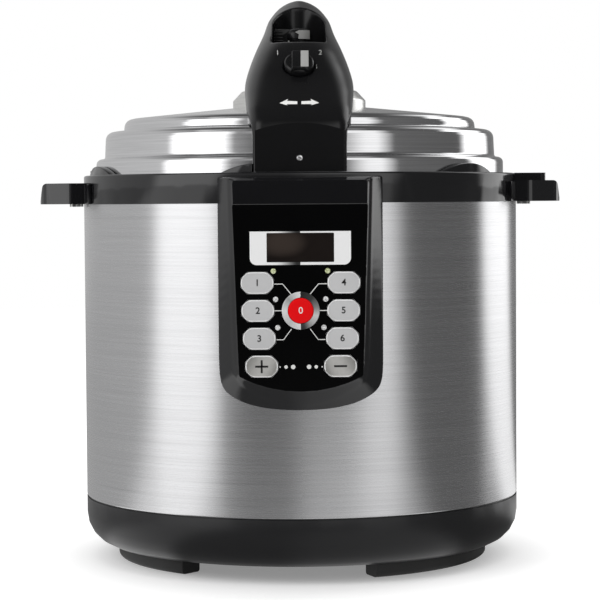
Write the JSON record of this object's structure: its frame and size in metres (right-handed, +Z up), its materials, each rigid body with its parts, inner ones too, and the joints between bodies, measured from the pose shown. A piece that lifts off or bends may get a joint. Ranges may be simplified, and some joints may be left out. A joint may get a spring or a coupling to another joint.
{
  "type": "electric pressure cooker",
  "caption": "Upright electric pressure cooker with a brushed steel body, a stepped bayonet lid with a hooded handle, a control panel and two side handles.",
  "frame": {"origin": "on the pot's axis, in the plane that the feet stand on", "axes": "+Z up along the pot's axis, the control panel faces -Y, the side handles lie along X"},
  "size_m": [0.393, 0.3519, 0.4234],
  "materials": {
    "base_plastic": "satin moulded",
    "rubber_feet": "matte",
    "zinc_screws": "zinc plated",
    "bright_screw": "bright",
    "brushed_steel": "horizontally brushed",
    "gloss_black": "high gloss",
    "film_black": "printed film",
    "display_glass": "smoked, glossy",
    "module_dark": "satin",
    "board_green": "solder mask",
    "switch_black": "satin",
    "lens_clear": "clear lens",
    "silver_trim": "satin silver",
    "key_red": "glossy",
    "key_grey": "satin",
    "pot_steel": "drawn sheet",
    "cast_aluminium": "machined casting",
    "element_sheath": "heat darkened",
    "sensor_ceramic": "white ceramic",
    "spring_steel": "bright steel",
    "switch_brown": "phenolic",
    "inlet_black": "satin",
    "silicone_dark": "satin",
    "cup_clear": "clear moulded plastic",
    "inner_pot_aluminium": "grey non-stick coating",
    "silicone_seal": "translucent white silicone",
    "polished_lid": "polished stainless",
    "boss_satin": "satin",
    "handle_black": "satin gloss",
    "brass_stem": "turned"
  },
  "bodies": {
    "root": {"base_shell": "base_plastic", "bottom_cover": "base_plastic", "foot_front_right": "rubber_feet", "foot_rear": "rubber_feet", "foot_front_left": "rubber_feet", "housing_screws": "zinc_screws", "handle_screws": "zinc_screws", "outer_shell": "brushed_steel", "collar": "gloss_black", "handle_left": "gloss_black", "handle_right": "gloss_black", "panel_bezel": "gloss_black", "panel_film": "film_black", "display_window": "display_glass", "display_module": "module_dark", "control_board": "board_green", "key_switches": "switch_black", "indicator_lenses": "lens_clear", "stop_key_ring": "silver_trim", "outer_pot": "pot_steel", "heating_plate": "cast_aluminium", "heating_element": "element_sheath", "plate_posts": "pot_steel", "sensor_housing": "sensor_ceramic", "sensor_spring": "spring_steel", "pressure_switch": "switch_brown", "thermal_fuse": "sensor_ceramic", "power_board": "board_green", "power_inlet": "inlet_black", "cup_bracket": "gloss_black", "drip_spout": "silicone_dark"},
    "lid_seal": {"sealing_ring": "silicone_seal"},
    "lid": {"lid_shell": "polished_lid", "inner_lid": "pot_steel", "ring_rack": "pot_steel", "lid_boss": "boss_satin", "lid_trim_ring": "gloss_black", "lid_handle": "handle_black", "handle_plate": "handle_black", "plate_screw": "bright_screw", "lid_handle_screws": "zinc_screws", "steam_stem": "brass_stem", "steam_shield": "pot_steel"},
    "limiting_valve_body": {"limiting_valve": "handle_black"},
    "selector_knob_body": {"selector_knob": "handle_black"},
    "float_valve_body": {"float_valve": "spring_steel"},
    "pot": {"inner_pot": "inner_pot_aluminium"},
    "sensor": {"thermal_sensor": "cast_aluminium"},
    "cup": {"condensate_cup": "cup_clear"},
    "stop_key_body": {"stop_key": "key_red"},
    "key_left_1_body": {"key_left_1": "key_grey"},
    "key_left_2_body": {"key_left_2": "key_grey"},
    "key_left_3_body": {"key_left_3": "key_grey"},
    "key_left_4_body": {"key_left_4": "key_grey"},
    "key_right_1_body": {"key_right_1": "key_grey"},
    "key_right_2_body": {"key_right_2": "key_grey"},
    "key_right_3_body": {"key_right_3": "key_grey"},
    "key_right_4_body": {"key_right_4": "key_grey"}
  },
  "joints": [
    {"name": "lid_lift", "type": "slide", "parent": "root", "child": "lid_seal", "axis": [0, 0, 1], "range_m": [0, 0.46]},
    {"name": "lid_turn", "type": "hinge", "parent": "lid_seal", "child": "lid", "pos_m": [0, 0, 0.2896], "axis": [0, 0, 1], "range_deg": [0, 30]},
    {"name": "pot_lift", "type": "slide", "parent": "root", "child": "pot", "axis": [0, 0, 1], "range_m": [0, 0.23]},
    {"name": "selector_turn", "type": "hinge", "parent": "lid", "child": "selector_knob_body", "pos_m": [0, -0.10876, 0.3666], "axis": [0, -0.6985, 0.7156], "range_deg": [-40, 40]},
    {"name": "valve_turn", "type": "hinge", "parent": "lid", "child": "limiting_valve_body", "pos_m": [0, -0.036, 0.3853], "axis": [0, 0, 1], "range_deg": [0, 75]},
    {"name": "float_rise", "type": "slide", "parent": "lid", "child": "float_valve_body", "axis": [0, 0, 1], "range_m": [0, 0.0035]},
    {"name": "sensor_press", "type": "slide", "parent": "root", "child": "sensor", "axis": [0, 0, -1], "range_m": [0, 0.003], "stiffness_N_per_m": 800, "deforming": ["sensor_spring"]},
    {"name": "cup_slide", "type": "slide", "parent": "root", "child": "cup", "axis": [0, 1, 0], "range_m": [0, 0.06]},
    {"name": "key_left_1_press", "type": "slide", "parent": "root", "child": "key_left_1_body", "axis": [0, 1, 0], "range_m": [0, 0.0008], "stiffness_N_per_m": 600},
    {"name": "key_left_2_press", "type": "slide", "parent": "root", "child": "key_left_2_body", "axis": [0, 1, 0], "range_m": [0, 0.0008], "stiffness_N_per_m": 600},
    {"name": "key_left_3_press", "type": "slide", "parent": "root", "child": "key_left_3_body", "axis": [0, 1, 0], "range_m": [0, 0.0008], "stiffness_N_per_m": 600},
    {"name": "key_left_4_press", "type": "slide", "parent": "root", "child": "key_left_4_body", "axis": [0, 1, 0], "range_m": [0, 0.0008], "stiffness_N_per_m": 600},
    {"name": "key_right_1_press", "type": "slide", "parent": "root", "child": "key_right_1_body", "axis": [0, 1, 0], "range_m": [0, 0.0008], "stiffness_N_per_m": 600},
    {"name": "key_right_2_press", "type": "slide", "parent": "root", "child": "key_right_2_body", "axis": [0, 1, 0], "range_m": [0, 0.0008], "stiffness_N_per_m": 600},
    {"name": "key_right_3_press", "type": "slide", "parent": "root", "child": "key_right_3_body", "axis": [0, 1, 0], "range_m": [0, 0.0008], "stiffness_N_per_m": 600},
    {"name": "key_right_4_press", "type": "slide", "parent": "root", "child": "key_right_4_body", "axis": [0, 1, 0], "range_m": [0, 0.0008], "stiffness_N_per_m": 600},
    {"name": "stop_key_press", "type": "slide", "parent": "root", "child": "stop_key_body", "axis": [0, 1, 0], "range_m": [0, 0.0008], "stiffness_N_per_m": 600}
  ],
  "couplings": [
    {"joint": "pot_lift", "follows": "lid_lift", "ratio": 0.5}
  ]
}
